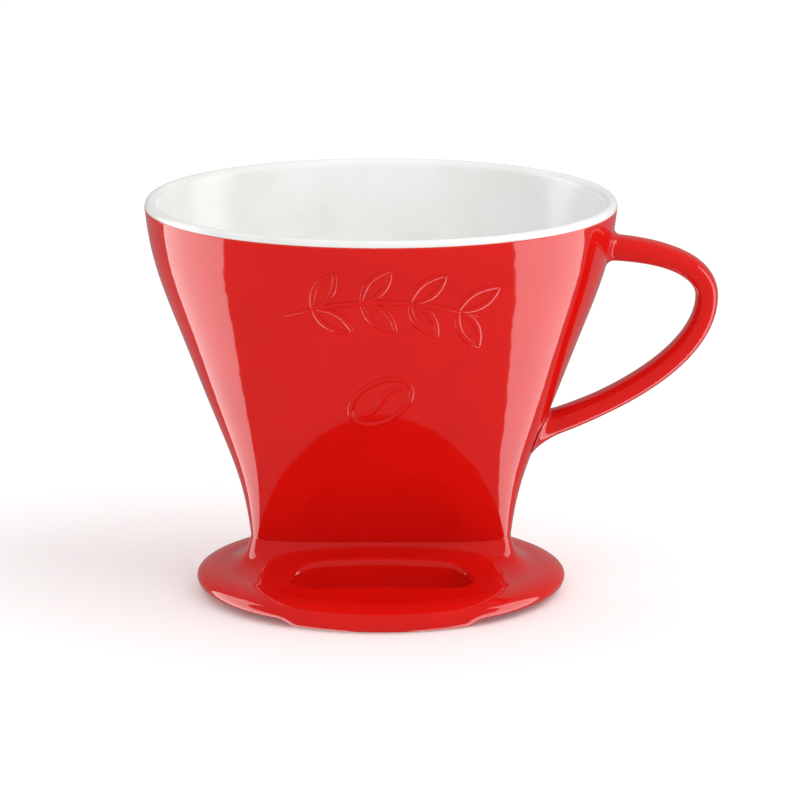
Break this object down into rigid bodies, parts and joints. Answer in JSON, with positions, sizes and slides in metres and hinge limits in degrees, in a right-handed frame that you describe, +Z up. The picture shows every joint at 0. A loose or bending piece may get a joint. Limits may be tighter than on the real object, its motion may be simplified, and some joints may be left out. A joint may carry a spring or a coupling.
{
  "type": "pour over dripper",
  "caption": "Glazed porcelain pour-over coffee dripper: a paper-filter funnel with inside ribs, a side loop handle and a round base plate with windows that rests on a cup.",
  "frame": {"origin": "on the funnel's axis, in the plane of the base plate's flat underside, which rests on a cup", "axes": "+Z up along the funnel's axis, +X towards the handle, -Y towards the front wall with the relief mark"},
  "size_m": [0.1564, 0.1112, 0.1092],
  "materials": {
    "white_glaze": "gloss",
    "white_glaze_floor": "gloss",
    "red_glaze": "gloss",
    "red_glaze_plate": "gloss",
    "red_glaze_base_joint": "gloss",
    "red_glaze_handle": "gloss",
    "red_glaze_upper_joint": "gloss",
    "red_glaze_lower_joint": "gloss",
    "red_glaze_relief": "gloss"
  },
  "bodies": {
    "root": {"funnel_body": "white_glaze", "drain_floor": "white_glaze_floor", "funnel_colour_glaze": "red_glaze", "base_plate": "red_glaze_plate", "base_slip_joint": "red_glaze_base_joint", "handle": "red_glaze_handle", "handle_upper_slip_joint": "red_glaze_upper_joint", "handle_lower_slip_joint": "red_glaze_lower_joint", "relief_mark": "red_glaze_relief"}
  },
  "joints": []
}
